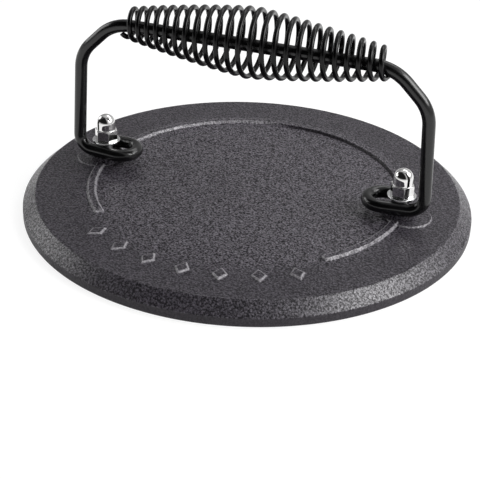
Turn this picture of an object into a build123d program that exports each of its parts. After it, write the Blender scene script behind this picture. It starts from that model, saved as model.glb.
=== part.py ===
from build123d import *
import os
from math import asin, atan2, cos, dist, hypot, pi, radians, sin, sqrt, tan

os.makedirs("parts", exist_ok=True)

# Plate: a cast disc with a broad bevel round its top edge and a flat underside
plate_diameter = 216.0
plate_height = 10.0
rim_height = 4.5
bevel_width = 6.1
bottom_edge_radius = 1.0
bevel_edge_radius = 0.8

# Studs: two, one at each end of the handle, in round bosses on low pads
stud_inset = 32.8
stud_diameter = 6.0
stud_tip_chamfer = 0.8
stud_depth = 9.0
boss_diameter = 16.4
boss_height = 3.85
boss_edge_radius = 0.4
pad_outset = 4.2
pad_diameter = 22.4
pad_height = 0.8
pad_slope = 30.0
thread_clearance = 0.03

# Raised band over both pads, open at the front, with sloped sides
band_width = 5.1
band_height = 1.3
band_slope = 30.0
band_opening = 91.0

# Plain lozenges in a row where the band is open
lozenge_count = 7
lozenge_step = 11.5
lozenge_inset = 24.5
lozenge_length = 11.0
lozenge_width = 7.5
lozenge_height = 0.9
lozenge_slope = 35.0

# Handle: one bent rod, from an eye round each stud up two legs to the grip
rod_diameter = 6.0
rod_end_chamfer = 0.5
eye_radius = 7.7
eye_inset = 8.2
eye_tail = 2.8
foot_offset = 12.1
leg_splay = 3.08
foot_bend_radius = 7.0
handle_setback = 5.2
grip_height = 83.9
grip_corner_inset = 19.85
shoulder_angle = 44.7
shoulder_bend_radius = 18.5
grip_bend_radius = 21.1
seat_gap = 0.03

# Coil: one wire wound as a barrel round the grip, its ends curled in to the rod
wire_diameter = 2.4
coil_turns = 24
coil_middle_radius = 15.27
coil_end_radius = 6.5
coil_swell = 1.19
coil_overrun = 2.8
coil_shift = 1.15
coil_squeeze = 0.057
curl_reach = 2.6
curl_angle = 35.0
weld_gap = 0.1

# Washer and cap nut on each stud
washer_diameter = 13.6
washer_thickness = 1.3
washer_bore = 6.4
washer_edge_chamfer = 0.25
nut_width = 10.0
nut_hex_height = 5.4
nut_height = 13.0
nut_chamfer_angle = 30.0
nut_turn = 7.0
cap_diameter = 9.3
stud_engagement = 7.0
nut_bore_spare = 1.0

# Places worked out from the sizes above
plate_radius = plate_diameter / 2
stud_reach = plate_radius - stud_inset
lozenge_reach = plate_radius - lozenge_inset
pad_reach = stud_reach + pad_outset
boss_top = plate_height + boss_height
rod_radius = rod_diameter / 2
wire_radius = wire_diameter / 2
eye_height = boss_top + rod_radius + seat_gap
eye_reach = stud_reach - eye_inset
foot_reach = stud_reach + foot_offset
grip_corner_reach = foot_reach - grip_corner_inset
washer_bottom = eye_height + rod_radius + seat_gap
nut_bottom = washer_bottom + washer_thickness
stud_bottom = boss_top - stud_depth
stud_top = nut_bottom + stud_engagement
thread_bore_radius = stud_diameter / 2 + thread_clearance


# Plate
with BuildPart() as plate:
    with BuildSketch(Plane.XZ) as plate_profile:
        with BuildLine():
            Polyline(
                (0, 0),
                (plate_radius, 0),
                (plate_radius, rim_height),
                (plate_radius - bevel_width, plate_height),
                (0, plate_height),
                close=True,
            )
        make_face()
        bottom_corner = plate_profile.vertices().group_by(Axis.X)[-1].sort_by(Axis.Y)[0]
        fillet(bottom_corner, bottom_edge_radius)
        bevel_foot = plate_profile.vertices().group_by(Axis.X)[-1].sort_by(Axis.Y)[-1]
        fillet(bevel_foot, bevel_edge_radius)
        bevel_head = plate_profile.vertices().group_by(Axis.Y)[-1].sort_by(Axis.X)[-1]
        fillet(bevel_head, bevel_edge_radius)
    revolve(axis=Axis.Z)

    # Band: a ring with a sector left out at the front
    with BuildSketch(Plane.XY.offset(plate_height)):
        Circle(stud_reach + band_width / 2)
        Circle(stud_reach - band_width / 2, mode=Mode.SUBTRACT)
        sector_side = plate_radius * tan(radians(band_opening / 2))
        Polygon(
            (0, 0),
            (-sector_side, -plate_radius),
            (sector_side, -plate_radius),
            align=None,
            mode=Mode.SUBTRACT,
        )
    extrude(amount=band_height, taper=band_slope)

    # Low pads, a little further out than the studs
    with BuildSketch(Plane.XY.offset(plate_height)):
        with Locations((-pad_reach, 0), (pad_reach, 0)):
            Circle(pad_diameter / 2)
    extrude(amount=pad_height, taper=pad_slope)

    # Bosses that carry the eyes of the handle
    with BuildSketch(Plane.XY.offset(plate_height)):
        with Locations((-stud_reach, 0), (stud_reach, 0)):
            Circle(boss_diameter / 2)
    extrude(amount=boss_height)
    boss_rims = plate.faces().group_by(Axis.Z)[-1].edges()
    fillet(boss_rims, boss_edge_radius)

    # Lozenges
    first_lozenge = -90 - lozenge_step * (lozenge_count - 1) / 2
    last_lozenge = lozenge_step * (lozenge_count - 1)
    with BuildSketch(Plane.XY.offset(plate_height)):
        with PolarLocations(lozenge_reach, lozenge_count, first_lozenge, last_lozenge, endpoint=True):
            Polygon(
                (lozenge_length / 2, 0),
                (0, lozenge_width / 2),
                (-lozenge_length / 2, 0),
                (0, -lozenge_width / 2),
            )
    extrude(amount=lozenge_height, taper=lozenge_slope)

    # Blind holes for the studs
    with Locations((-stud_reach, 0, boss_top), (stud_reach, 0, boss_top)):
        Hole(thread_bore_radius, depth=stud_depth)
plate.part.label = "plate"
export_step(plate.part, "parts/plate.step")


# Studs, screwed into the bosses
for name, sign in (("left", -1), ("right", 1)):
    with BuildPart() as stud:
        with BuildSketch(Plane.XY.offset(stud_bottom)):
            with Locations((sign * stud_reach, 0)):
                Circle(stud_diameter / 2)
        extrude(amount=stud_top - stud_bottom)
        chamfer(stud.edges().filter_by(GeomType.CIRCLE), stud_tip_chamfer)
    stud.part.label = name + "_stud"
    export_step(stud.part, "parts/" + name + "_stud.step")

# Washers, flat on the crown of the eyes
for name, sign in (("left", -1), ("right", 1)):
    with BuildPart() as washer:
        with BuildSketch(Plane.XY.offset(washer_bottom)):
            with Locations((sign * stud_reach, 0)):
                Circle(washer_diameter / 2)
                Circle(washer_bore / 2, mode=Mode.SUBTRACT)
        extrude(amount=washer_thickness)
        outer_edges = washer.edges().filter_by(GeomType.CIRCLE).group_by(SortBy.RADIUS)[-1]
        chamfer(outer_edges, washer_edge_chamfer)
    washer.part.label = name + "_washer"
    export_step(washer.part, "parts/" + name + "_washer.step")

# Cap nuts: a hexagon with both ends turned to a cone, and a domed cap over a blind bore
hex_corner_radius = nut_width / sqrt(3)
corner_drop = (hex_corner_radius - nut_width / 2) * tan(radians(nut_chamfer_angle))
cap_radius = cap_diameter / 2
for name, sign in (("left", -1), ("right", 1)):
    nut_base = Plane(origin=(sign * stud_reach, 0, nut_bottom))
    with BuildPart() as cap_nut:
        with BuildSketch(nut_base):
            RegularPolygon(hex_corner_radius, 6, rotation=-sign * nut_turn)
        extrude(amount=nut_hex_height)
        turned = Plane(origin=nut_base.origin, x_dir=(1, 0, 0), z_dir=(0, -1, 0))
        with BuildSketch(turned):
            with BuildLine():
                Polyline(
                    (0, 0),
                    (nut_width / 2, 0),
                    (hex_corner_radius, corner_drop),
                    (hex_corner_radius, nut_hex_height - corner_drop),
                    (nut_width / 2, nut_hex_height),
                    (0, nut_hex_height),
                    close=True,
                )
            make_face()
        revolve(axis=Axis(nut_base.origin, (0, 0, 1)), mode=Mode.INTERSECT)
        with BuildSketch(turned):
            with BuildLine():
                Line((0, nut_hex_height), (cap_radius, nut_hex_height))
                Line((cap_radius, nut_hex_height), (cap_radius, nut_height - cap_radius))
                RadiusArc((cap_radius, nut_height - cap_radius), (0, nut_height), -cap_radius)
                Line((0, nut_height), (0, nut_hex_height))
            make_face()
        revolve(axis=Axis(nut_base.origin, (0, 0, 1)))
        with BuildSketch(nut_base):
            Circle(thread_bore_radius)
        extrude(amount=stud_engagement + nut_bore_spare, mode=Mode.SUBTRACT)
    cap_nut.part.label = name + "_cap_nut"
    export_step(cap_nut.part, "parts/" + name + "_cap_nut.step")


# Handle rod: the corners and bends of one side, as a route from the eye to the grip
corner_reach = hypot(foot_reach - eye_reach, handle_setback)
arm_angle = asin(eye_radius / corner_reach) - atan2(handle_setback, foot_reach - eye_reach)
leg_slope = tan(radians(leg_splay))
shoulder_slope = tan(radians(shoulder_angle))
shoulder_rise = (
    (grip_height - eye_height) - (foot_reach - grip_corner_reach) * shoulder_slope
) / (1 - leg_slope * shoulder_slope)
shoulder_reach = foot_reach - shoulder_rise * leg_slope


def eye_point(sign: int, angle: float) -> Vector:
    """A point on the centreline of the eye's bend, its angle measured from the leg's side."""
    reach = eye_reach + eye_radius * cos(angle)
    return Vector(sign * reach, eye_radius * sin(angle), eye_height)


def leg_corners(sign: int) -> list[Vector]:
    """The corners of one leg, from its foot by the eye to the end of the grip."""
    return [
        Vector(sign * foot_reach, -handle_setback, eye_height),
        Vector(sign * shoulder_reach, -handle_setback, eye_height + shoulder_rise),
        Vector(sign * grip_corner_reach, -handle_setback, grip_height),
    ]


arm_start = 3 * pi / 2 + arm_angle
with BuildPart() as handle_rod:
    with BuildLine() as rod_route:
        for sign in (-1, 1):
            tail = Vector(sign * (stud_reach + eye_tail), eye_radius, eye_height)
            Line(tail, eye_point(sign, pi / 2))
            middle = (pi / 2 + arm_start) / 2
            ThreePointArc(eye_point(sign, pi / 2), eye_point(sign, middle), eye_point(sign, arm_start))
        corners = leg_corners(-1) + leg_corners(1)[::-1]
        bends = [foot_bend_radius, shoulder_bend_radius, grip_bend_radius]
        FilletPolyline(
            eye_point(-1, arm_start),
            *corners,
            eye_point(1, arm_start),
            radius=bends + bends[::-1],
        )
    left_end = Vector(-stud_reach - eye_tail, eye_radius, eye_height)
    with BuildSketch(Plane(origin=left_end, z_dir=(1, 0, 0))):
        Circle(rod_radius)
    sweep(path=rod_route.wire())
    chamfer(handle_rod.faces().filter_by(GeomType.PLANE).edges(), rod_end_chamfer)
handle_rod.part.label = "handle_rod"
export_step(handle_rod.part, "parts/handle_rod.step")
print("handle rod volume against section times length:")
print(round(handle_rod.part.volume), round(pi * rod_radius**2 * rod_route.wire().length))


# Coil grip: where the wire runs
straight_half = grip_corner_reach - grip_bend_radius * tan(radians(shoulder_angle) / 2)
coil_half = straight_half + coil_overrun
far_past = coil_overrun + 2 * coil_shift
inside_bend = grip_bend_radius - rod_radius - wire_radius - weld_gap
wire_drop = grip_bend_radius - sqrt(inside_bend**2 - far_past**2)
coil_rise = coil_end_radius - wire_drop


def coil_point(turn: float) -> Vector:
    """The wire's centre after this many turns, wound right-handed from under the rod."""
    share = 2 * turn / coil_turns - 1
    stretch = 1 + coil_squeeze * (1 - share**2)
    along = coil_shift * (1 + share**2) + coil_half * share * stretch
    radius = coil_middle_radius - (coil_middle_radius - coil_end_radius) * abs(share) ** coil_swell
    angle = 2 * pi * turn - pi / 2
    across = radius * cos(angle) - handle_setback
    return Vector(along, across, grip_height + coil_rise + radius * sin(angle))


def curl_end(turn: float) -> Vector:
    """Where the wire ends against the rod, past its first or last turn."""
    side = 2 * turn / coil_turns - 1
    bend = asin((abs(coil_point(turn).X) + curl_reach - straight_half) / grip_bend_radius)
    touch = rod_radius + wire_radius + weld_gap
    inwards = grip_bend_radius - touch * sin(radians(curl_angle))
    along = side * (straight_half + inwards * sin(bend))
    across = side * touch * cos(radians(curl_angle)) - handle_setback
    return Vector(along, across, grip_height - grip_bend_radius + inwards * cos(bend))


def coil_heading(turn: float) -> Vector:
    """The wire's direction after this many turns."""
    step = 0.005
    return (coil_point(turn + step) - coil_point(turn - step)).normalized()


def biarc_joint(start: Vector, end: Vector, first: Vector, last: Vector) -> tuple[Vector, Vector]:
    """Where two equal-tangent arcs from start to end meet, and their direction there."""
    gap = end - start
    both = first + last
    spread = 2 * (1 - first.dot(last))
    reach = (sqrt(gap.dot(both) ** 2 + spread * gap.dot(gap)) - gap.dot(both)) / spread
    near = start + first * reach
    far = end - last * reach
    return (near + far) * 0.5, (far - near).normalized()


with BuildPart() as coil_grip:
    with BuildLine() as wire_route:
        first_curl = TangentArc(coil_point(0), curl_end(0), tangent=-coil_heading(0))
        for half in range(2 * coil_turns):
            start = coil_point(half / 2)
            end = coil_point(half / 2 + 0.5)
            joint, heading = biarc_joint(start, end, coil_heading(half / 2), coil_heading(half / 2 + 0.5))
            TangentArc(start, joint, tangent=coil_heading(half / 2))
            TangentArc(joint, end, tangent=heading)
        TangentArc(coil_point(coil_turns), curl_end(coil_turns), tangent=coil_heading(coil_turns))
    with BuildSketch(Plane(origin=first_curl @ 1, z_dir=first_curl % 1)):
        Circle(wire_radius)
    sweep(path=wire_route.wire())
coil_grip.part.label = "coil_grip"
export_step(coil_grip.part, "parts/coil_grip.step")
wire_length = wire_route.wire().length
print("coil volume against section times length:")
print(round(coil_grip.part.volume), round(pi * wire_radius**2 * wire_length))


def least_gap(route: Wire, points_per_turn: int) -> float:
    """The least clear space between the wire and itself, measured on points of its route."""
    count = coil_turns * points_per_turn
    spots = [tuple(route @ (i / count)) for i in range(count + 1)]
    nearest = coil_half
    for i, spot in enumerate(spots):
        for other in spots[i + points_per_turn // 2 : i + 2 * points_per_turn]:
            nearest = min(nearest, dist(spot, other))
    return nearest - wire_diameter


print("least gap of the coil's wire to itself:", round(least_gap(wire_route.wire(), 48), 2))
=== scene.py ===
import logging
import math
from collections.abc import Callable, Mapping, Sequence
from dataclasses import dataclass
from enum import Enum

import bpy
from mathutils import Matrix, Vector, noise


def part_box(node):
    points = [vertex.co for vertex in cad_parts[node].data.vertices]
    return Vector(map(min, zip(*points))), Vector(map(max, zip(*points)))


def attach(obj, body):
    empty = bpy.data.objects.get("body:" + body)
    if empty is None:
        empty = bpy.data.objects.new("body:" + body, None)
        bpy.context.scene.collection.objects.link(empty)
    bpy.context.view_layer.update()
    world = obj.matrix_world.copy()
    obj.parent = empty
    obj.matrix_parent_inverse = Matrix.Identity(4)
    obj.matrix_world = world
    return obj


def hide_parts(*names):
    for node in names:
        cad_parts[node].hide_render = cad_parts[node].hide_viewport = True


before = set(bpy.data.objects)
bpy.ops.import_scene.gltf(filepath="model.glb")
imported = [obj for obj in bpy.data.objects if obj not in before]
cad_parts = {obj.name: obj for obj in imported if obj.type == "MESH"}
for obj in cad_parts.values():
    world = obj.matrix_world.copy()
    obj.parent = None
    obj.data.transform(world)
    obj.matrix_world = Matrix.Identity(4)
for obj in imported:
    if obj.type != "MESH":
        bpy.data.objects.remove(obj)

LOG = logging.getLogger("press")
MM = 0.001
BODY = "root"
# Name of the point attribute that carries painted pallor, as wear and highlight, and painted shade.
WEAR_AND_LIGHT = "wear_and_light"

Colour = tuple[float, float, float]
Place = tuple[float, float, float]
Span = tuple[float, float]  # Low and high end
Knot = tuple[float, float]  # Reach and height of a point on the profile of a turned form


class Side(Enum):
    """The two ends of the handle, with the sign of their X."""

    LEFT = -1
    RIGHT = 1

    def node(self, part: str) -> str:
        """Return the name of this side's CAD node for a part."""
        return f"{self.name.lower()}_{part}"


class IronZone(Enum):
    """Where on the casting a face lies, with its material's place in the piece's slots."""

    FACE = 0
    BEVEL = 1
    WALL = 2
    UNDERSIDE = 3


# Shader maths


@dataclass(frozen=True)
class Wire:
    """A number, colour or vector on its way from one node's output socket to the next node."""

    bench: "Bench"
    socket: bpy.types.NodeSocket

    def _math(self, operation: str, *values: "Wire | float") -> "Wire":
        """Add a Math node for one operation on these values."""
        return self.bench.node("ShaderNodeMath", {"operation": operation}, dict(enumerate(values)))

    def __add__(self, other: "Wire | float") -> "Wire":
        """Return this plus other."""
        return self._math("ADD", self, other)

    def __radd__(self, other: float) -> "Wire":
        """Return other plus this."""
        return self._math("ADD", other, self)

    def __sub__(self, other: "Wire | float") -> "Wire":
        """Return this less other."""
        return self._math("SUBTRACT", self, other)

    def __rsub__(self, other: float) -> "Wire":
        """Return other less this."""
        return self._math("SUBTRACT", other, self)

    def __mul__(self, other: "Wire | float") -> "Wire":
        """Return this times other."""
        return self._math("MULTIPLY", self, other)

    def between(self, low: float, high: float) -> "Wire":
        """Return 0 where this is below low, 1 above high, and a smooth rise between."""
        rise = {"Value": self, "From Min": low, "From Max": high}
        return self.bench.node("ShaderNodeMapRange", {"interpolation_type": "SMOOTHSTEP"}, rise)


class Bench:
    """The node tree of one material or of the world, with the one method that adds nodes."""

    def __init__(self, tree: bpy.types.NodeTree) -> None:
        """Empty the node tree to build in."""
        tree.nodes.clear()
        self.tree = tree

    def node(
        self,
        kind: str,
        settings: Mapping[str, object] | None = None,
        inputs: Mapping[str | int, object] | None = None,
        output: str | int = 0,
    ) -> Wire | None:
        """Add a node, set it, and feed its sockets.

        Args:
            kind: The node's type.
            settings: Properties of the node, set before its sockets.
            inputs: Values or wires by the name or number of the socket.
            output: The name or number of the socket to return.

        Returns:
            The wire that comes out of the node, or None from an output node.
        """
        made = self.tree.nodes.new(kind)
        for name, value in (settings or {}).items():
            setattr(made, name, value)
        for name, value in (inputs or {}).items():
            socket = made.inputs[name]
            if isinstance(value, Wire):
                self.tree.links.new(value.socket, socket)
            else:
                socket.default_value = value
        return Wire(self, made.outputs[output]) if made.outputs else None

    def place(self) -> Wire:
        """Return the point on the surface in metres, in the frame of the whole object."""
        return self.node("ShaderNodeTexCoord", output="Object")

    def stretched(self, where: Wire, factors: Place) -> Wire:
        """Return a place with its X, Y and Z multiplied by these factors."""
        return self.node("ShaderNodeVectorMath", {"operation": "MULTIPLY"}, {0: where, 1: factors})

    def facing(self, where: Wire, direction: Place) -> Wire:
        """Return how far a place lies towards a direction: their dot product."""
        dot = {"operation": "DOT_PRODUCT"}
        return self.node("ShaderNodeVectorMath", dot, {0: where, 1: direction}, "Value")

    def blended(self, factor: Wire, first: Wire, second: Wire) -> Wire:
        """Return a shader between two: the first at a factor of 0 and the second at 1."""
        return self.node("ShaderNodeMixShader", None, {0: factor, 1: first, 2: second})

    def plain(self, inputs: Mapping[str, object]) -> Wire:
        """Return the general shader with these inputs, by the names of its sockets."""
        return self.node("ShaderNodeBsdfPrincipled", None, inputs)

    def cloud(self, where: Wire, size: float, detail: float, rough: float = 0.5) -> Wire:
        """Return noise from 0 to 1: patches this large in metres, and finer layers this rough."""
        layers = {"Vector": where, "Scale": 1.0 / size, "Detail": detail, "Roughness": rough}
        return self.node("ShaderNodeTexNoise", None, layers)

    def pebbles(self, where: Wire, size: float, merge: float) -> Wire:
        """Return grains this far apart in metres: 1 on their crowns, less where they merge."""
        grains = {"Vector": where, "Scale": 1.0 / size, "Smoothness": merge}
        return 1.0 - self.node("ShaderNodeTexVoronoi", {"feature": "SMOOTH_F1"}, grains, "Distance")

    def mixed(self, factor: Wire, first: Colour | Wire, second: Colour | Wire) -> Wire:
        """Return a colour between two.

        Args:
            factor: 0 for the first colour and 1 for the second.
            first: A colour.
            second: Another colour.

        Returns:
            The mixed colour.
        """
        ends = [c if isinstance(c, Wire) else (*c, 1.0) for c in (first, second)]
        colours = {"data_type": "RGBA"}
        return self.node("ShaderNodeMix", colours, {0: factor, 6: ends[0], 7: ends[1]}, output=2)

    def relief(self, height: Wire, depth: float, over: Wire | None = None) -> Wire:
        """Return a normal that is tilted as a surface of this height would be.

        Args:
            height: The height, from 0 to 1.
            depth: What a height of 1 stands for, in metres.
            over: A normal that is already tilted, if this comes on top of it.

        Returns:
            The tilted normal.
        """
        inputs = {"Height": height, "Distance": depth, "Strength": 1.0}
        if over is not None:
            inputs["Normal"] = over
        return self.node("ShaderNodeBump", None, inputs)


# Finishes


@dataclass(frozen=True)
class Finish:
    """What every finish has: a name, and a way to make its material."""

    name: str

    def shade(self, bench: Bench) -> Wire:
        """Build the finish's shader on an empty bench."""
        raise NotImplementedError

    def material(self) -> bpy.types.Material:
        """Make a new material with this finish.

        Returns:
            The material.
        """
        made = bpy.data.materials.new(self.name)
        made.use_nodes = True
        bench = Bench(made.node_tree)
        bench.node("ShaderNodeOutputMaterial", None, {"Surface": self.shade(bench)})
        return made


@dataclass(frozen=True)
class CastIron(Finish):
    """Seasoned iron as cast in sand: rounded grains in an oily film, painted pale on its edges as
    wear and highlight.

    Crowns are the tops of the pebbles and of the finer grain. They are paler than the hollows, and
    the film lies on them. A share of them, smoothing, goes over to smooth_level along smooth_reach.
    """

    dark: Colour = (0.0020, 0.0016, 0.0024)
    light: Colour = (0.158, 0.143, 0.173)
    # Pale colour of worn edges, also used as painted highlight.
    rubbed_and_highlit: Colour = (0.500, 0.485, 0.512)
    roughness: float = 0.38
    roughness_play: float = 0.14
    crown_polish: float = 0.12
    gloss: float = 0.18
    sheen_tint: Colour = (0.975, 0.935, 1.0)
    pebble_size: float = 1.05 * MM
    pebble_depth: float = 0.34 * MM
    pebble_merge: float = 0.6
    pebble_crown: Span = (0.52, 0.74)
    grain_size: float = 0.88 * MM
    grain_depth: float = 0.24 * MM
    grain_crown: Span = (0.46, 0.56)
    grain_share: float = 0.6
    patch_size: float = 14.0 * MM
    patch_share: float = 0.08
    # How much of the pale edge paint, wear and painted highlight, reaches the hollows.
    hollows_rubbed_and_highlit: float = 0.35
    film: float = 1.0
    hollow_film: float = 0.0
    film_roughness: float = 0.32
    film_index: float = 1.75
    # How much painted shade darkens the crowns, and the attribute value where it is full.
    painted_shade_strength: float = 0.85
    painted_shade_full_at: float = -0.8
    smoothing: float = 0.0
    smooth_level: float = 0.14
    smooth_reach: Span = (70.0 * MM, 86.0 * MM)

    def shade(self, bench: Bench) -> Wire:
        """Build cast iron: two sizes of grain, a mottled film, dull hollows, edges painted pale as
        wear and highlight, and painted shade.

        Args:
            bench: The material's empty node tree.

        Returns:
            The shader.
        """
        where = bench.place()
        patches = bench.cloud(where, self.patch_size, detail=3.0)
        pebbles = bench.pebbles(where, self.pebble_size, self.pebble_merge)
        grain = bench.cloud(where, self.grain_size, detail=3.0, rough=0.65)
        wear_and_light = bench.node("ShaderNodeAttribute", {"attribute_name": WEAR_AND_LIGHT}, None, "Fac")
        coarse = bench.relief(pebbles, self.pebble_depth)
        normal = bench.relief(grain, self.grain_depth, over=coarse)
        pebble_tops = pebbles.between(*self.pebble_crown)
        grain_tops = grain.between(*self.grain_crown)
        crowns = pebble_tops * (1.0 - self.grain_share) + grain_tops * self.grain_share
        if self.smoothing:
            plan = bench.stretched(where, (1.0, 1.0, 0.0))
            reach = bench.node("ShaderNodeVectorMath", {"operation": "LENGTH"}, {0: plan}, "Value")
            flattened = reach.between(*self.smooth_reach) * self.smoothing
            crowns = crowns * (1.0 - flattened) + flattened * self.smooth_level
        # Where the attribute is below 0 it paints shade: the crowns darken and lose their film.
        unshaded = wear_and_light.between(self.painted_shade_full_at, 0.0)
        crowns = crowns * (unshaded * self.painted_shade_strength + (1.0 - self.painted_shade_strength))
        paleness = crowns * (1.0 - self.patch_share) + patches * self.patch_share
        iron = bench.mixed(paleness, self.dark, self.light)
        # Where the attribute is above 0, edges are painted pale, as worn metal and as painted
        # highlight.
        bared_and_highlit = wear_and_light * (self.hollows_rubbed_and_highlit + crowns * (1.0 - self.hollows_rubbed_and_highlit))
        uneven = (patches - 0.5) * self.roughness_play
        return bench.plain({
            "Base Color": bench.mixed(bared_and_highlit, iron, self.rubbed_and_highlit),
            "Roughness": self.roughness + uneven + (0.5 - crowns) * self.crown_polish,
            "Specular IOR Level": self.gloss,
            "Specular Tint": (*self.sheen_tint, 1.0),
            "Coat Weight": crowns * (self.film - self.hollow_film) + self.hollow_film,
            "Coat Roughness": self.film_roughness,
            "Coat IOR": self.film_index,
            "Normal": normal,
        })


@dataclass(frozen=True)
class GlossEnamel(Finish):
    """Baked black enamel on steel: a faint orange peel, a few dull specks and a clear top."""

    colour: Colour = (0.0024, 0.0024, 0.0027)
    worn: Colour = (0.0075, 0.0072, 0.0074)
    roughness: float = 0.16
    gloss: float = 0.54
    peel_size: float = 1.6 * MM
    peel_depth: float = 0.012 * MM
    speck_size: float = 0.5 * MM
    speck_span: Span = (0.66, 0.80)
    speck_share: float = 0.4
    speck_roughness: float = 0.10
    dull_size: float = 9.0 * MM
    dull_span: Span = (0.35, 0.75)
    dull_roughness: float = 0.07

    def shade(self, bench: Bench) -> Wire:
        """Build the enamel.

        Args:
            bench: The material's empty node tree.

        Returns:
            The shader.
        """
        where = bench.place()
        peel = bench.cloud(where, self.peel_size, detail=1.0)
        specks = bench.cloud(where, self.speck_size, detail=1.0).between(*self.speck_span)
        dulled = bench.cloud(where, self.dull_size, detail=3.0).between(*self.dull_span)
        worn = dulled * (1.0 - self.speck_share) + specks * self.speck_share
        roughness = self.roughness + dulled * self.dull_roughness + specks * self.speck_roughness
        return bench.plain({
            "Base Color": bench.mixed(worn, self.colour, self.worn),
            "Roughness": roughness,
            "Specular IOR Level": self.gloss,
            "Normal": bench.relief(peel, self.peel_depth),
        })


@dataclass(frozen=True)
class PolishedPlating(Finish):
    """Bright plating with the finest of handling marks."""

    colour: Colour = (0.80, 0.795, 0.79)
    smudged: Colour = (0.68, 0.675, 0.67)
    roughness: float = 0.045
    smudge_size: float = 3.5 * MM
    smudge_span: Span = (0.45, 0.75)
    smudge_roughness: float = 0.05
    scratch_size: float = 1.2 * MM
    scratch_stretch: Place = (1.0, 1.0, 9.0)
    scratch_depth: float = 0.0015 * MM

    def shade(self, bench: Bench) -> Wire:
        """Build the plating.

        Args:
            bench: The material's empty node tree.

        Returns:
            The shader.
        """
        where = bench.place()
        smudges = bench.cloud(where, self.smudge_size, detail=3.0).between(*self.smudge_span)
        drawn_out = bench.stretched(where, self.scratch_stretch)
        scratches = bench.cloud(drawn_out, self.scratch_size, detail=4.0, rough=0.7)
        return bench.plain({
            "Base Color": bench.mixed(smudges, self.colour, self.smudged),
            "Metallic": 1.0,
            "Roughness": self.roughness + smudges * self.smudge_roughness,
            "Normal": bench.relief(scratches, self.scratch_depth),
        })


@dataclass(frozen=True)
class TurnedPlating(Finish):
    """Plating over a part that was turned or rolled, with fine rings along one axis."""

    colour: Colour = (0.66, 0.66, 0.67)
    dark: Colour = (0.44, 0.44, 0.45)
    roughness: float = 0.20
    ring_size: float = 0.16 * MM
    ring_depth: float = 0.004 * MM
    ring_stretch: Place = (0.08, 0.08, 1.0)
    ring_share: float = 0.3
    dull_size: float = 2.4 * MM
    dull_span: Span = (0.4, 0.8)
    dull_play: float = 0.12

    def shade(self, bench: Bench) -> Wire:
        """Build the plating.

        Args:
            bench: The material's empty node tree.

        Returns:
            The shader.
        """
        where = bench.place()
        rings = bench.cloud(bench.stretched(where, self.ring_stretch), self.ring_size, detail=2.0)
        dull = bench.cloud(where, self.dull_size, detail=3.0)
        darkened = dull.between(*self.dull_span) * (1.0 - self.ring_share) + rings * self.ring_share
        return bench.plain({
            "Base Color": bench.mixed(darkened, self.colour, self.dark),
            "Metallic": 1.0,
            "Roughness": self.roughness + (dull - 0.5) * self.dull_play,
            "Normal": bench.relief(rings, self.ring_depth),
        })


@dataclass(frozen=True)
class PaleFloor(Finish):
    """Matt white paper. To the camera it is white where it is lit, and its shadows stay."""

    colour: Colour = (0.86, 0.86, 0.86)
    glow: float = 0.86
    seen: float = 0.22
    fibre_size: float = 2.0 * MM
    fibre_lift: float = 1.02

    def shade(self, bench: Bench) -> Wire:
        """Build the paper.

        Args:
            bench: The material's empty node tree.

        Returns:
            The shader.
        """
        camera, glossy, through = [
            bench.node("ShaderNodeLightPath", output=f"Is {ray} Ray")
            for ray in ("Camera", "Glossy", "Transmission")
        ]
        fibres = bench.cloud(bench.place(), self.fibre_size, detail=4.0)
        dulled = bench.mixed(fibres, (self.seen,) * 3, (self.seen * self.fibre_lift,) * 3)
        matt = {"Roughness": 1.0, "Specular IOR Level": 0.0}
        lit = bench.plain({"Base Color": dulled, **matt})
        white = bench.node("ShaderNodeEmission", None, {"Strength": self.glow})
        seen = bench.node("ShaderNodeAddShader", None, {0: lit, 1: white})
        unseen = bench.plain({"Base Color": (*self.colour, 1.0), **matt})
        return bench.blended(camera + glossy + through, unseen, seen)


# Meshes


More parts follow.
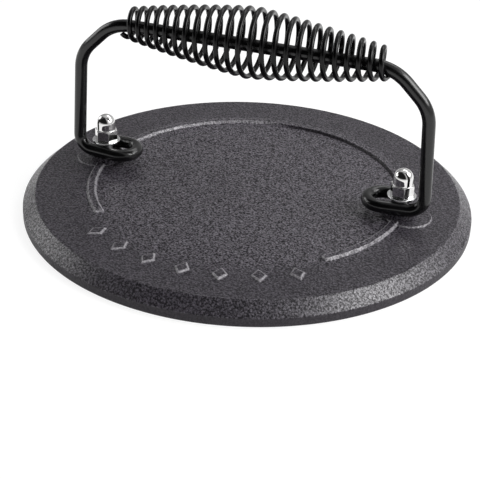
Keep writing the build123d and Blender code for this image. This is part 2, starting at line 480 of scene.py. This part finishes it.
class Shell:
    """Points and faces of one piece, gathered before they become a mesh."""

    def __init__(self) -> None:
        """Start with nothing."""
        self.points: list[Vector] = []
        self.wear_and_light: list[float] = []
        self.faces: list[tuple[int, ...]] = []
        self.zones: list[int] = []

    def ring(self, points: Sequence[Vector], wear_and_light: float | Sequence[float] = 0.0) -> list[int]:
        """Add points and return their numbers.

        Args:
            points: The points in metres.
            wear_and_light: How pale they are painted, as wear and highlight, up to 1, or below 0
                for painted shade: one for all, or one each.

        Returns:
            The points' numbers.
        """
        first = len(self.points)
        self.points.extend(points)
        self.wear_and_light.extend([wear_and_light] * len(points) if isinstance(wear_and_light, float) else wear_and_light)
        return list(range(first, len(self.points)))

    def bridge(self, inner: Sequence[int], outer: Sequence[int], zone: int = 0) -> None:
        """Join two closed rings with faces, also where one has a multiple of the other's points.

        Args:
            inner: The ring nearer the start of the profile.
            outer: The next ring along the profile.
            zone: The material's place in the piece's slots.
        """
        count = min(len(inner), len(outer))
        a, b = len(inner) // count, len(outer) // count
        for i in range(count):
            near = [inner[(i * a + k) % len(inner)] for k in range(a + 1)]
            far = [outer[(i * b + k) % len(outer)] for k in range(b + 1)]
            self.faces.append((near[0], *far, *reversed(near[1:])))
            self.zones.append(zone)

    def fan(self, centre: Vector, ring: Sequence[int], upwards: bool, zone: int = 0) -> None:
        """Close a ring with triangles to one point.

        Args:
            centre: The point.
            ring: The ring, anticlockwise from above.
            upwards: True if the faces look up.
            zone: The material's place in the piece's slots.
        """
        middle = self.ring([centre])[0]
        for i, point in enumerate(ring):
            after = ring[(i + 1) % len(ring)]
            self.faces.append((middle, point, after) if upwards else (middle, after, point))
            self.zones.append(zone)

    def skin(self, rings: Sequence[Sequence[int]], crown: Vector | None = None) -> None:
        """Join each ring to the next, in the piece's first material.

        Args:
            rings: The rings in order.
            crown: A point above the first ring, which closes it.
        """
        if crown is not None:
            self.fan(crown, rings[0], upwards=True)
        for inner, outer in zip(rings, rings[1:]):
            self.bridge(inner, outer)

    def turned(
        self,
        profile: Sequence[Knot],
        centre: Vector,
        count: int,
        reach_at: Callable[[float, float], float] | None = None,
    ) -> list[list[int]]:
        """Add the surface of a form turned about an upright axis.

        Args:
            profile: The rings' knots in millimetres, from the crown outwards, down and in.
            centre: The middle of the form's foot in metres.
            count: How many points a ring has.
            reach_at: Turns a knot's reach and an angle into the reach there, if it isn't round.

        Returns:
            The rings.
        """
        rings = []
        for reach, height in profile:
            points = []
            for turn in turns(count):
                out = reach_at(reach, turn) if reach_at else reach
                spot = Vector((out * math.cos(turn), out * math.sin(turn), height))
                points.append(centre + spot * MM)
            rings.append(self.ring(points))
        self.skin(rings)
        return rings

    def piece(self, name: str, materials: Sequence[bpy.types.Material]) -> bpy.types.Object:
        """Make the gathered shell a smooth mesh object.

        Args:
            name: The piece's name.
            materials: Its materials, in the order of their zones.

        Returns:
            The new object.
        """
        mesh = bpy.data.meshes.new(name)
        mesh.from_pydata([tuple(p) for p in self.points], [], self.faces)
        for material in materials:
            mesh.materials.append(material)
        mesh.polygons.foreach_set("use_smooth", [True] * len(self.faces))
        mesh.polygons.foreach_set("material_index", self.zones)
        mesh.attributes.new(WEAR_AND_LIGHT, "FLOAT", "POINT").data.foreach_set("value", self.wear_and_light)
        mesh.update()
        made = bpy.data.objects.new(name, mesh)
        bpy.context.scene.collection.objects.link(made)
        return made


def turns(count: int) -> list[float]:
    """Return this many angles in radians, evenly round from 0."""
    return [2.0 * math.pi * i / count for i in range(count)]


def steps(start: float, end: float, size: float) -> list[float]:
    """Return even steps after start, up to and with end, each about this size."""
    count = max(1, round(abs(end - start) / size))
    return [start + (end - start) * (i + 1) / count for i in range(count)]


def wall(reach: float, start: float, end: float, size: float) -> list[Knot]:
    """Return points up or down the upright part of a profile, with even steps after start."""
    return [(reach, level) for level in steps(start, end, size)]


def arc(centre: Knot, radius: float, start: float, end: float, count: int) -> list[Knot]:
    """Return points on an arc of a profile, its angles in degrees from outwards towards up."""
    angles = [math.radians(start + (end - start) * i / (count - 1)) for i in range(count)]
    return [(centre[0] + radius * math.cos(a), centre[1] + radius * math.sin(a)) for a in angles]


def soft(share: float) -> float:
    """Return a smooth rise from 0 to 1 as share goes from 0 to 1."""
    share = min(max(share, 0.0), 1.0)
    return share * share * (3.0 - 2.0 * share)


def crest(share: float) -> float:
    """Return how pale a slope is painted, as wear and highlight, from low down to a little past its
    top, at a share of 1.
    """
    start, end, run = 0.05, 1.3, 0.3
    return soft((share - start) / run) * soft((end - share) / run)


@dataclass(frozen=True)
class Lumps:
    """Noise over the casting, from about -height to height. Each layer is a noise of its own."""

    height: float
    size: float
    layer: float = 0.0

    def at(self, x: float, y: float, above: float = 0.0) -> float:
        """Return the noise at a place in millimetres, read this far above its layer."""
        return self.height * noise.noise(Vector((x / self.size, y / self.size, self.layer + above)))


# The casting


@dataclass
class Casting:
    """The iron plate: a disc with a bevel, a raised band, two pads and a row of lozenges.

    Sizes are in millimetres, and angles in degrees from +X. Lumps and insets make the edges uneven.
    The band's crest is painted pale, as worn metal and as painted highlight. In an arc at the back
    right that pallor fades, and painted shade lies along the band's inner foot. The insets of a
    lozenge run from its top out past its outline, each with how high it rises there.
    """

    radius: float = 107.96
    height: float = 10.0
    rim_height: float = 4.5
    bevel_width: float = 6.1
    foot_radius: float = 1.0
    bevel_softness: float = 0.7
    bend_points: int = 6
    foot_points: int = 7
    bevel_step: float = 0.14
    wall_cell: float = 0.6
    under_reaches: tuple[float, ...] = (104.0, 98.0, 85.0, 65.0, 44.9, 30.0, 21.9, 15.0, 9.9, 5.0)
    edge_inset: float = 0.05
    edge_swell: Lumps = Lumps(0.05, 6.0)
    edge_ripple: Lumps = Lumps(0.03, 2.4)
    ring_points: int = 720
    halved_within: tuple[float, ...] = (45.0, 22.0, 10.0)
    cell: float = 0.9
    face_swell: Lumps = Lumps(0.07, 9.0, 1.0)
    face_ripple: Lumps = Lumps(0.05, 3.2, 2.0)
    band_reach: float = 75.2
    band_width: float = 5.1
    band_height: float = 1.3
    band_run: float = 1.05
    band_opening: float = 91.0
    band_cell: float = 0.6
    slope_cell: float = 0.2
    slope_start: float = 0.35
    slope_past: float = 0.3
    band_inside: Lumps = Lumps(0.16, 2.1, 3.0)
    band_outside: Lumps = Lumps(0.16, 2.1, 7.0)
    band_ends: Lumps = Lumps(0.3, 1.8, 9.0)
    band_top: Lumps = Lumps(0.10, 3.0, 5.0)
    # The band's pale painted crest, as wear and painted highlight, with its noise.
    band_wear_and_highlight: float = 0.85
    band_wear_and_highlight_play: Lumps = Lumps(0.8, 2.2, 13.0)
    # An arc at the back right where the crest's pale paint fades, and the depth, span and run of
    # the painted shade along the band's inner foot.
    shaded_arc_at: float = 48.0
    shaded_arc_half: float = 59.8
    shaded_arc_fade: float = 26.0
    shaded_arc_loss: float = 0.75
    painted_shade_depth: float = 1.2
    painted_shade_span: Span = (-0.4, 1.05)
    painted_shade_run: float = 0.35
    pad_reach: float = 79.4
    pad_radius: float = 11.2
    pad_height: float = 0.8
    pad_run: float = 0.8
    pad_points: int = 144
    pad_cell: float = 0.8
    pad_slope_step: float = 0.12
    pad_skirt: float = 0.5
    pad_sink: float = -0.12
    # The pad's edge is painted pale, as worn metal and as painted highlight.
    pad_wear_and_highlight: float = 0.7
    pad_outline: Lumps = Lumps(0.022, 2.4, 31.0)
    boss_reach: float = 75.2
    boss_radius: float = 8.2
    boss_height: float = 3.85
    boss_edge: float = 0.4
    boss_edge_start: float = 70.0
    boss_edge_points: int = 5
    boss_points: int = 108
    boss_cell: float = 1.1
    boss_side_cell: float = 0.5
    boss_foot: float = 0.6
    stud_bore: float = 3.03
    bore_shown: float = 1.2
    bore_edge: float = 0.3
    lozenge_reach: float = 83.5
    lozenge_count: int = 7
    lozenge_step: float = 11.5
    lozenge_length: float = 11.0
    lozenge_width: float = 7.5
    lozenge_height: float = 0.9
    lozenge_run: float = 0.9
    lozenge_points: int = 72
    lozenge_power: float = 1.05
    lozenge_outline: Lumps = Lumps(0.06, 1.9, 21.0)
    lozenge_top: Lumps = Lumps(0.12, 2.2, 23.0)
    lozenge_insets: tuple[float, ...] = (2.9, 2.3, 1.7, 1.2, 0.85, 0.6, 0.35, 0.12, -0.12, -0.5)
    lozenge_rises: tuple[float, ...] = (0.9, 0.9, 0.9, 0.88, 0.82, 0.68, 0.42, 0.16, 0.03, -0.12)
    face_iron: CastIron = CastIron("cast_face", smoothing=0.55)
    bevel_iron: CastIron = CastIron(
        "cast_bevel",
        dark=(0.006, 0.0052, 0.0068),
        light=(0.098, 0.088, 0.108),
        roughness=0.40,
        pebble_depth=0.32 * MM,
        hollow_film=0.20,
        film_roughness=0.34,
    )
    wall_iron: CastIron = CastIron(
        "cast_wall",
        dark=(0.036, 0.033, 0.038),
        light=(0.052, 0.048, 0.055),
        roughness=0.50,
        pebble_depth=0.07 * MM,
        grain_depth=0.04 * MM,
        film=0.1,
    )
    underside_iron: CastIron = CastIron("cast_underside", roughness=0.42, pebble_depth=0.22 * MM)

    def _band(self, reach: float, angle: float, x: float, y: float) -> tuple[float, float]:
        """Return how high the band stands at a place, and how pale or shaded it is painted there.

        Args:
            reach: Distance from the plate's centre in millimetres.
            angle: Angle from the middle of the opening in degrees, either way.
            x: The place's X in millimetres.
            y: The place's Y in millimetres.

        Returns:
            The height in millimetres, and the paint: up to 1 where worn and highlit, below 0 where
                painted shade lies.
        """
        if abs(reach - self.band_reach) > self.band_width:
            return 0.0, 0.0
        inner = self.band_reach - self.band_width / 2 + self.band_inside.at(x, y)
        outer = self.band_reach + self.band_width / 2 + self.band_outside.at(x, y)
        past_end = math.radians(angle - self.band_opening / 2) * reach + self.band_ends.at(x, y)
        share = min(reach - inner, outer - reach, past_end) / self.band_run
        height = self.band_height * soft(share) * (1.0 + self.band_top.at(x, y))
        # Painted shade: in an arc at the back right the crest's pale paint fades, and a dark line
        # is painted along the band's inner foot.
        off_shaded_arc = abs(math.degrees(math.atan2(y, x)) - self.shaded_arc_at)
        arc_shade = self.shaded_arc_loss * soft((self.shaded_arc_half - off_shaded_arc) / self.shaded_arc_fade)
        foot, (first, last) = (reach - inner) / self.band_run, self.painted_shade_span
        in_foot = soft((foot - first) / self.painted_shade_run) * soft((last - foot) / self.painted_shade_run)
        # The crest is painted pale, as worn metal and as painted highlight.
        rubbed_and_highlit = crest(share) * soft(self.band_wear_and_highlight + self.band_wear_and_highlight_play.at(x, y))
        return height, (1.0 - arc_shade) * rubbed_and_highlit - self.painted_shade_depth * arc_shade * in_foot

    def _level(self, x: float, y: float) -> float:
        """Return how high the face lies at a place, in millimetres, uneven as the sand left it."""
        return self.height + (self.face_swell.at(x, y) + self.face_ripple.at(x, y))

    def _face_ring(self, shell: Shell, reach: float) -> list[int]:
        """Add one ring of the plate's upper face.

        Args:
            shell: The shell to add it to.
            reach: Distance from the plate's centre in millimetres.

        Returns:
            The ring.
        """
        points, wear_and_light = [], []
        for turn in self._turns(reach):
            x, y = reach * math.cos(turn), reach * math.sin(turn)
            from_front = abs((math.degrees(turn) + 90.0 + 180.0) % 360.0 - 180.0)
            # Each point keeps the band's painted pallor and painted shade.
            rise, rubbed_and_highlit = self._band(reach, from_front, x, y)
            points.append(Vector((x, y, self._level(x, y) + rise)) * MM)
            wear_and_light.append(rubbed_and_highlit)
        return shell.ring(points, wear_and_light)

    def _edge_point(self, reach: float, height: float, turn: float) -> Vector:
        """Return a point of the bevel, the wall or the underside, a little uneven.

        Args:
            reach: Distance from the plate's axis in millimetres.
            height: Height in millimetres.
            turn: Angle from +X in radians.

        Returns:
            The point in metres.
        """
        x, y = reach * math.cos(turn), reach * math.sin(turn)
        uneven = self.edge_swell.at(x, y, height) + self.edge_ripple.at(x, y, height)
        share = min(1.0, height / self.foot_radius)
        shrunk = (reach - max(self.edge_inset + uneven, 0.0) * share) / reach
        return Vector((x * shrunk, y * shrunk, height)) * MM

    def _turns(self, reach: float) -> list[float]:
        """Return the angles of a ring's points in radians, half as many within each limit."""
        return turns(self.ring_points >> sum(reach < limit for limit in self.halved_within))

    def _face_reaches(self, bevel_head: float) -> list[float]:
        """Return the radii of the upper face's rings, close together on the band's slopes.

        Args:
            bevel_head: Where the face ends.

        Returns:
            The radii in millimetres.
        """
        inner = self.band_reach - self.band_width / 2
        outer = self.band_reach + self.band_width / 2
        near, far = self.slope_start, self.band_run + self.slope_past
        return (
            steps(0.0, inner - near, self.cell)
            + steps(inner - near, inner + far, self.slope_cell)
            + steps(inner + far, outer - far, self.band_cell)
            + steps(outer - far, outer + near, self.slope_cell)
            + steps(outer + near, bevel_head, self.cell)
        )

    def _bevel_slope(self) -> float:
        """Return how far the bevel's normal is tilted up from level, in degrees."""
        return math.degrees(math.atan2(self.bevel_width, self.height - self.rim_height))

    def _bevel_head(self) -> float:
        """Return the reach at which the flat face ends and the bend into the bevel starts."""
        bend = self.bevel_softness * math.tan(math.radians((90.0 - self._bevel_slope()) / 2))
        return self.radius - self.bevel_width - bend

    def _edge_profile(self) -> list[tuple[float, float, IronZone]]:
        """Return the profile from the bevel's upper edge round to the middle of the underside.

        Returns:
            Reach, height and zone of each ring.
        """
        soften, slope, count = self.bevel_softness, self._bevel_slope(), self.bend_points
        upper = arc((self._bevel_head(), self.height - soften), soften, 90.0, slope, count)
        foot_bend = soften * math.tan(math.radians(slope / 2))
        lower = arc((self.radius - soften, self.rim_height - foot_bend), soften, slope, 0.0, count)
        (near, high), (far, low) = upper[-1], lower[0]
        shares = steps(0.0, 1.0, self.bevel_step)[:-1]
        down = [(near + (far - near) * share, high + (low - high) * share) for share in shares]
        edge = self.foot_radius
        foot = arc((self.radius - edge, edge), edge, 0.0, -90.0, self.foot_points)
        side = wall(self.radius, lower[-1][1], edge, self.wall_cell)[:-1]
        under = [(reach, 0.0) for reach in self.under_reaches]
        zones = [
            (upper[1:] + down + lower[:-1], IronZone.BEVEL),
            ([lower[-1]] + side + foot[:-1], IronZone.WALL),
            ([foot[-1]] + under, IronZone.UNDERSIDE),
        ]
        return [(reach, height, zone) for points, zone in zones for reach, height in points]

    def _add_disc(self, shell: Shell) -> None:
        """Add the disc with its band.

        Args:
            shell: The shell to add it to.
        """
        reaches = self._face_reaches(self._bevel_head())
        last = self._face_ring(shell, reaches[0])
        middle = Vector((0.0, 0.0, self._level(0.0, 0.0))) * MM
        shell.fan(middle, last, upwards=True, zone=IronZone.FACE.value)
        for reach in reaches[1:]:
            ring = self._face_ring(shell, reach)
            shell.bridge(last, ring, IronZone.FACE.value)
            last = ring
        for reach, height, zone in self._edge_profile():
            ring = shell.ring([self._edge_point(reach, height, t) for t in self._turns(reach)])
            shell.bridge(last, ring, zone.value)
            last = ring
        shell.fan(Vector((0.0, 0.0, 0.0)), last, upwards=False, zone=IronZone.UNDERSIDE.value)

    def _add_pad(self, shell: Shell, side: Side) -> None:
        """Add the low pad under one foot of the handle, soft where it runs out into the face.

        Args:
            shell: The shell to add it to.
            side: Which end of the handle it is under.
        """
        crown = self.pad_radius - self.pad_run
        slope = steps(0.0, 1.0, self.pad_slope_step)
        rows = [(reach, 1.0) for reach in steps(0.0, crown, self.pad_cell)]
        rows += [(crown + self.pad_run * share, 1.0 - soft(share)) for share in slope]
        rows += [(self.pad_radius + self.pad_skirt, self.pad_sink)]
        centre, rings = side.value * self.pad_reach, []
        for reach, share in rows:
            points = []
            for turn in turns(self.pad_points):
                x, y = centre + reach * math.cos(turn), reach * math.sin(turn)
                uneven = 1.0 + self.pad_outline.at(x, y)
                x, y = centre + (x - centre) * uneven, y * uneven
                points.append(Vector((x, y, self._level(x, y) + self.pad_height * share)) * MM)
            # The pad's edge is painted pale, as worn metal and as painted highlight.
            rings.append(shell.ring(points, self.pad_wear_and_highlight * crest(share) if reach > crown else 0.0))
        shell.skin(rings, Vector((centre, 0.0, self.height + self.pad_height)) * MM)

    def _add_boss(self, shell: Shell, side: Side) -> None:
        """Add the round boss that holds one stud.

        Args:
            shell: The shell to add it to.
            side: Which end of the handle it is under.
        """
        centre = Vector((side.value * self.boss_reach, 0.0, self.height)) * MM
        top, bore, edge = self.boss_height, self.stud_bore, self.bore_edge
        rim, side_top = self.boss_radius - self.boss_edge, self.boss_height - self.boss_edge
        profile = [(bore, top - self.bore_shown), (bore, top - edge), (bore + edge, top)]
        profile += [(reach, top) for reach in steps(bore + edge, rim, self.boss_cell)]
        start, count = self.boss_edge_start, self.boss_edge_points
        profile += arc((rim, side_top), self.boss_edge, start, 0.0, count)
        profile += wall(self.boss_radius, side_top, self.boss_foot, self.boss_side_cell)
        shell.turned(profile, centre, self.boss_points)

    def _add_lozenge(self, shell: Shell, angle: float) -> None:
        """Add one raised lozenge with soft edges.

        Args:
            shell: The shell to add it to.
            angle: Where it lies round the plate, in degrees from +X.
        """
        half_length, half_width = self.lozenge_length / 2, self.lozenge_width / 2
        power = self.lozenge_power
        flat = half_length * half_width / math.hypot(half_length, half_width)
        outwards = math.radians(angle)
        along = Vector((math.cos(outwards), math.sin(outwards), 0.0))
        across = Vector((-math.sin(outwards), math.cos(outwards), 0.0))
        rings = []
        for inset, height in zip(self.lozenge_insets, self.lozenge_rises):
            scale = (flat - inset) / flat
            points = []
            for turn in turns(self.lozenge_points):
                c, s = math.cos(turn), math.sin(turn)
                corners = abs(c / half_length) ** power + abs(s / half_width) ** power
                reach = corners ** (-1 / power) * scale
                spot = along * (self.lozenge_reach + reach * c) + across * (reach * s)
                spot += (along * c + across * s) * self.lozenge_outline.at(spot.x, spot.y)
                lift = height * (1.0 + self.lozenge_top.at(spot.x, spot.y))
                points.append((spot + Vector((0.0, 0.0, self.height + lift))) * MM)
            # The lozenge's edges are painted pale, as worn metal and as painted highlight.
            rings.append(shell.ring(points, crest(inset / self.lozenge_run)))
        crown = Vector((0.0, 0.0, self.height + self.lozenge_height))
        shell.skin(rings, (along * self.lozenge_reach + crown) * MM)

    def build(self) -> bpy.types.Object:
        """Build the casting in place of its plain CAD solid.

        Returns:
            The piece.
        """
        shell = Shell()
        self._add_disc(shell)
        for side in Side:
            self._add_pad(shell, side)
            self._add_boss(shell, side)
        for i in range(self.lozenge_count):
            self._add_lozenge(shell, -90.0 + (i - (self.lozenge_count - 1) / 2) * self.lozenge_step)
        irons = (self.face_iron, self.bevel_iron, self.wall_iron, self.underside_iron)
        piece = shell.piece("cast_plate", [iron.material() for iron in irons])
        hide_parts("plate")
        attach(piece, BODY)
        return piece


# The handle


def dress(node: str, finish: Finish) -> bpy.types.Object:
    """Give a CAD node that stays a finish through its material slots.

    Args:
        node: The node's name.
        finish: The finish it gets.

    Returns:
        The node's object.
    """
    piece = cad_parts[node]
    material = finish.material()
    for slot in piece.material_slots:
        slot.material = material
    return piece


@dataclass
class Handle:
    """The bent rod with its two eyes, and the wire that is wound round its grip."""

    rod_enamel: GlossEnamel = GlossEnamel("rod_enamel")
    wire_enamel: GlossEnamel = GlossEnamel(
        "wire_enamel",
        colour=(0.0014, 0.0014, 0.0016),
        worn=(0.0050, 0.0048, 0.0049),
        roughness=0.14,
        gloss=0.27,
        peel_size=1.1 * MM,
    )

    def build(self) -> list[bpy.types.Object]:
        """Dress the rod and the coil, and return both."""
        return [dress("handle_rod", self.rod_enamel), dress("coil_grip", self.wire_enamel)]


@dataclass
class Fastening:
    """The stud, washer and cap nut at one end of the handle, in millimetres and degrees."""

    side: Side
    washer_bore: float = 3.2
    washer_edge: float = 0.32
    washer_edge_points: int = 6
    washer_bore_edge: float = 0.15
    washer_bore_points: int = 4
    washer_bore_end: float = 110.0
    washer_rings: int = 4
    washer_points: int = 192
    nut_width: float = 10.0
    nut_turn: float = 7.0
    nut_points: int = 288
    hexagon_height: float = 5.4
    chamfer_angle: float = 30.0
    chamfer_step: float = 0.08
    corner_sharpness: float = 80.0
    corner_spare: float = 0.1
    foot_edge: float = 0.1
    foot_outset: float = 0.65
    foot_inset: float = 0.8
    cap_radius: float = 4.65
    cap_start: float = 86.0
    cap_points: int = 26
    cap_side_cell: float = 0.5
    cap_fillet: float = 0.25
    fillet_start: float = 200.0
    fillet_points: int = 5
    flat_cell: float = 0.45
    nut_bore: float = 3.03
    nut_bore_edge: float = 0.3
    nut_bore_depth: float = 8.0
    nut_bore_cell: float = 1.1
    stud_steel: TurnedPlating = TurnedPlating("stud_steel", roughness=0.30)
    washer_plating: TurnedPlating = TurnedPlating(
        "washer_plating", colour=(0.84, 0.84, 0.845), dark=(0.60, 0.60, 0.61), roughness=0.10
    )
    nut_plating: PolishedPlating = PolishedPlating("nut_plating")

    def _place(self, part: str) -> tuple[Vector, float, float]:
        """Return where a part's CAD node stands.

        Args:
            part: The part's name without its side.

        Returns:
            The middle of its foot in metres, then its reach along Y and its height in millimetres.
        """
        low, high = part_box(self.side.node(part))
        foot = Vector(((low.x + high.x) / 2, (low.y + high.y) / 2, low.z))
        return foot, (high.y - low.y) / 2 / MM, (high.z - low.z) / MM

    def _settle(self, shell: Shell, part: str, finish: Finish) -> bpy.types.Object:
        """Make a shell the piece that stands for a CAD node.

        Args:
            shell: The gathered shell.
            part: The part's name without its side.
            finish: Its finish.

        Returns:
            The piece.
        """
        node = self.side.node(part)
        piece = shell.piece(f"bright_{node}", [finish.material()])
        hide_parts(node)
        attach(piece, BODY)
        return piece

    def _washer(self) -> bpy.types.Object:
        """Build the washer, its edges rounded as the plating leaves them.

        Returns:
            The piece.
        """
        foot, radius, height = self._place("washer")
        edge, inner = self.washer_edge, self.washer_bore_edge
        count, bore_count = self.washer_edge_points, self.washer_bore_points
        inmost, rim = self.washer_bore + inner, radius - edge
        shares = [i / self.washer_rings for i in range(self.washer_rings)]
        profile = [(inmost + (rim - inmost) * share, height) for share in shares]
        profile += arc((rim, height - edge), edge, 90.0, 0.0, count)
        profile += arc((rim, edge), edge, 0.0, -90.0, count)
        profile += arc((inmost, inner), inner, -90.0, -180.0, bore_count)
        profile += arc((inmost, height - inner), inner, 180.0, self.washer_bore_end, bore_count)
        shell = Shell()
        rings = shell.turned(profile, foot, self.washer_points)
        shell.bridge(rings[-1], rings[0])
        return self._settle(shell, "washer", self.washer_plating)

    def _hexagon(self, reach: float, turn: float) -> float:
        """Return a ring's reach, held inside the hexagon, whose corners are a little rounded.

        Args:
            reach: The ring's reach where no flat cuts it.
            turn: Angle from +X in radians.

        Returns:
            The reach in millimetres.
        """
        power, corner = self.corner_sharpness, math.radians(-self.side.value * self.nut_turn)
        sixth = math.pi / 3
        flats = sum(abs(math.cos(turn - corner - (k + 0.5) * sixth)) ** power for k in range(3))
        return (flats * (self.nut_width / 2) ** -power + reach**-power) ** (-1 / power)

    def _nut(self) -> bpy.types.Object:
        """Build the cap nut: a dome on a hexagon whose upper corners are turned off.

        Returns:
            The piece.
        """
        foot, _, height = self._place("cap_nut")
        top, half = self.hexagon_height, self.nut_width / 2
        cap, fillet = self.cap_radius, self.cap_fillet
        bore, edge = self.nut_bore, self.nut_bore_edge
        corner = half / math.cos(math.pi / 6) + self.corner_spare
        drop = (corner - half) * math.tan(math.radians(self.chamfer_angle))
        shares = (0.0, *steps(0.0, 1.0, self.chamfer_step))
        profile = arc((0.0, height - cap), cap, self.cap_start, 0.0, self.cap_points)
        profile += wall(cap, height - cap, top + fillet, self.cap_side_cell)
        fillet_centre = (cap + fillet, top + fillet)
        profile += arc(fillet_centre, fillet, self.fillet_start, 270.0, self.fillet_points)
        profile += [(half + (corner - half) * share, top - drop * share) for share in shares]
        profile += wall(corner, top - drop, self.foot_edge, self.flat_cell)
        profile += [(half + self.foot_outset, 0.0), (half - self.foot_inset, 0.0)]
        profile += [(bore + edge, 0.0), (bore, edge)]
        profile += wall(bore, edge, self.nut_bore_depth, self.nut_bore_cell)
        shell = Shell()
        rings = shell.turned(profile, foot, self.nut_points, self._hexagon)
        shell.fan(foot + Vector((0.0, 0.0, height)) * MM, rings[0], upwards=True)
        shell.fan(foot + Vector((0.0, 0.0, self.nut_bore_depth)) * MM, rings[-1], upwards=False)
        return self._settle(shell, "cap_nut", self.nut_plating)

    def build(self) -> list[bpy.types.Object]:
        """Dress the stud, build the washer and the nut, and return the three."""
        return [dress(self.side.node("stud"), self.stud_steel), self._washer(), self._nut()]


# The studio


@dataclass(frozen=True)
class SoftBox:
    """A rectangular studio lamp that looks at the middle of the object. Sizes in metres."""

    name: str
    spot: Place
    width: float
    length: float
    level: float
    aim: Place = (0.0, 0.0, 0.03)

    def build(self) -> None:
        """Hang the lamp."""
        to_spot = Vector(self.spot) - Vector(self.aim)
        lamp = bpy.data.lights.new(self.name, "AREA")
        lamp.shape = "RECTANGLE"
        lamp.size, lamp.size_y = self.width, self.length
        lamp.energy = self.level * math.pi**2 * to_spot.length_squared
        made = bpy.data.objects.new(self.name, lamp)
        turned = to_spot.to_track_quat("Z", "Y").to_matrix().to_4x4()
        made.matrix_world = Matrix.Translation(self.spot) @ turned
        bpy.context.scene.collection.objects.link(made)


@dataclass
class Studio:
    """The floor, the lamps, the surround and the camera, in metres but the lens in millimetres."""

    floor_size: float = 8.0
    floor_drop: float = 0.0003
    white_walls: float = 0.59
    dim_walls: float = 0.30
    dim_towards: Place = (-0.766, 0.643, 0.0)
    dim_edge: Span = (0.45, 0.95)
    black_cloth: float = 0.012
    cloth_towards: Place = (-0.574, -0.819, 0.0)
    cloth_edge: Span = (0.02, 0.30)
    cloth_hem: Span = (0.06, 0.24)
    lens: float = 91.918
    sensor: float = 36.0
    clip: Span = (0.01, 30.0)
    camera_spot: Place = (0.170261, -0.499598, 0.282565)
    aim: Place = (0.008640, -0.033957, 0.0)
    roll: float = 1.945
    paper: PaleFloor = PaleFloor("pale_paper")
    lamps: Sequence[SoftBox] = (
        SoftBox("key_box", (0.927, -0.081, 0.706), 0.60, 0.66, 0.60),
        SoftBox("right_box", (0.840, 0.340, 0.738), 0.70, 0.60, 0.28),
        SoftBox("left_box", (-1.03, 0.08, 0.45), 0.76, 0.46, 0.24),
        SoftBox("back_box", (0.15, 0.75, 1.00), 0.80, 0.40, 0.12),
    )

    def _surround(self) -> None:
        """Make the world: white to the camera, else pale walls with a black cloth on one side."""
        world = bpy.data.worlds.new("surround")
        bpy.context.scene.world = world
        world.use_nodes = True
        bench = Bench(world.node_tree)
        camera = bench.node("ShaderNodeLightPath", output="Is Camera Ray")
        towards = bench.node("ShaderNodeTexCoord", output="Generated")
        rise = bench.node("ShaderNodeSeparateXYZ", None, {0: towards}, output="Z")
        cloth_side = bench.facing(towards, self.cloth_towards).between(*self.cloth_edge)
        cloth = cloth_side * rise.between(*self.cloth_hem)
        dimmed = bench.facing(towards, self.dim_towards).between(*self.dim_edge)
        white = (1.0, 1.0, 1.0, 1.0)
        bright, dim, black, backdrop = [
            bench.node("ShaderNodeBackground", None, {"Color": white, "Strength": level})
            for level in (self.white_walls, self.dim_walls, self.black_cloth, 1.0)
        ]
        studio = bench.blended(cloth, bench.blended(dimmed, bright, dim), black)
        seen = bench.blended(camera, studio, backdrop)
        bench.node("ShaderNodeOutputWorld", None, {"Surface": seen})

    def _floor(self) -> None:
        """Lay the floor just under the plate."""
        half = self.floor_size / 2
        signs = ((-1, -1), (1, -1), (1, 1), (-1, 1))
        corners = [Vector((x * half, y * half, -self.floor_drop)) for x, y in signs]
        shell = Shell()
        shell.faces.append(tuple(shell.ring(corners)))
        shell.zones.append(0)
        floor = shell.piece("floor", [self.paper.material()])

    def _camera(self) -> None:
        """Stand the camera at the photograph's viewpoint."""
        spot = Vector(self.camera_spot)
        back = (spot - Vector(self.aim)).normalized()
        level = Vector((0.0, 0.0, 1.0)).cross(back).normalized()
        upright = back.cross(level)
        roll = math.radians(self.roll)
        right = level * math.cos(roll) + upright * math.sin(roll)
        up = back.cross(right)
        data = bpy.data.cameras.new("camera")
        data.lens = self.lens
        data.sensor_width = self.sensor
        data.sensor_fit = "HORIZONTAL"
        data.clip_start, data.clip_end = self.clip
        made = bpy.data.objects.new("camera", data)
        turned = Matrix((right, up, back)).transposed().to_4x4()
        made.matrix_world = Matrix.Translation(spot) @ turned
        bpy.context.scene.collection.objects.link(made)
        bpy.context.scene.camera = made

    def build(self) -> None:
        """Build the whole studio."""
        bpy.context.scene.view_settings.view_transform = "Standard"
        self._surround()
        self._floor()
        for lamp in self.lamps:
            lamp.build()
        self._camera()


def report(group: str, pieces: Sequence[bpy.types.Object]) -> None:
    """Log each piece of a group with its number of faces."""
    for piece in pieces:
        LOG.info("%s: %s, %d faces", group, piece.name, len(piece.data.polygons))


def main() -> None:
    """Build the object and its studio in order."""
    logging.basicConfig(level=logging.INFO, format="%(name)s: %(message)s")
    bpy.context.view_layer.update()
    report("casting", [Casting().build()])
    report("handle", Handle().build())
    for side in Side:
        report(f"{side.name.lower()} fastening", Fastening(side).build())
    Studio().build()


if __name__ == "__main__":
    main()
